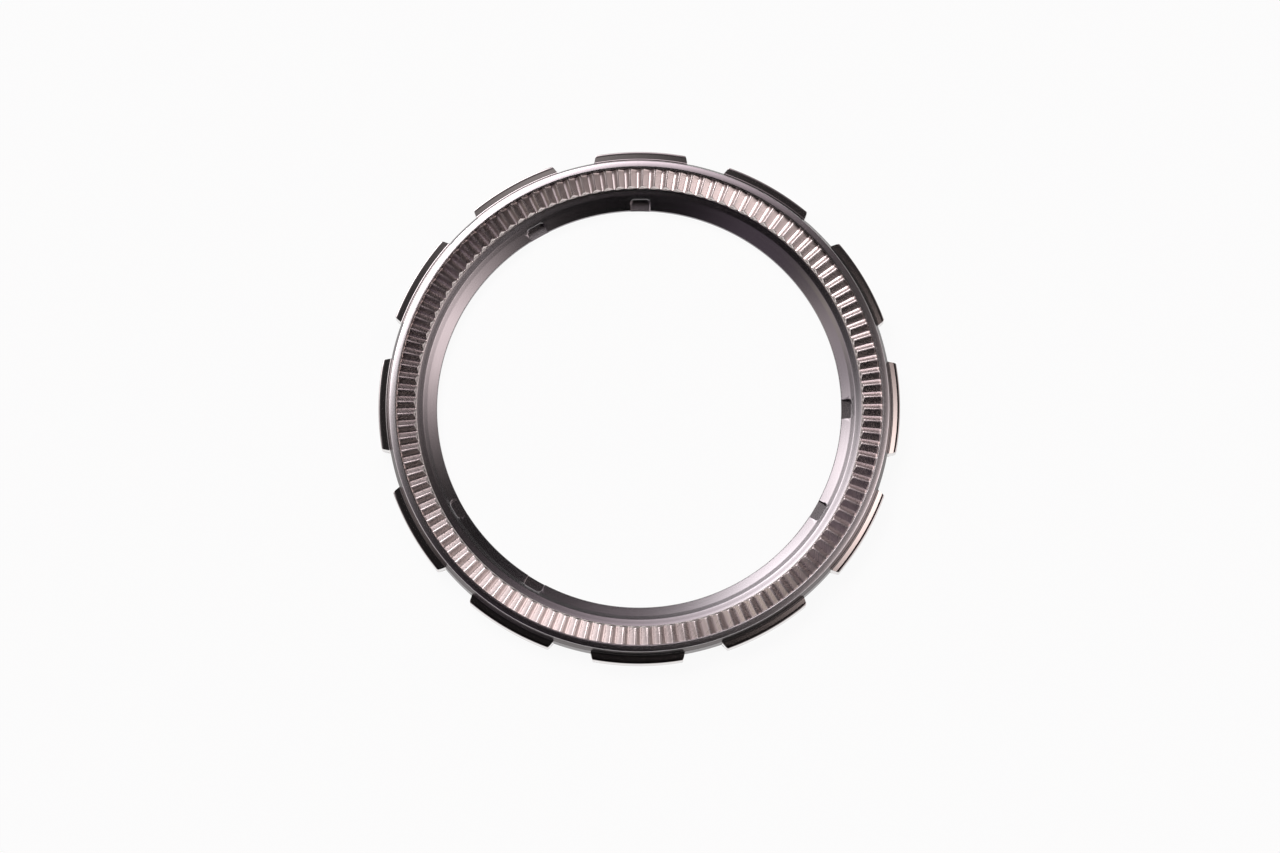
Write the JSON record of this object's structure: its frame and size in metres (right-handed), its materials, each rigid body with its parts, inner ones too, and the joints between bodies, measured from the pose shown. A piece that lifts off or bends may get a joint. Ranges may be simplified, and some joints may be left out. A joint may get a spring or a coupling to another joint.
{
  "type": "retaining ring",
  "caption": "Flat steel retaining ring with lugs round its rim, a recessed band of fine radial face teeth and small blind pockets round a wide stepped bore.",
  "frame": {"origin": "centre of the bore on the flat back face that the ring lies on", "axes": "+Z along the ring's axis out of the toothed side, +Y through the middle of one lug and one pocket"},
  "size_m": [0.041, 0.041, 0.002],
  "materials": {
    "turned_steel": "bright turned steel with fine circular tool marks"
  },
  "bodies": {
    "root": {"retaining_ring": "turned_steel"}
  },
  "joints": []
}
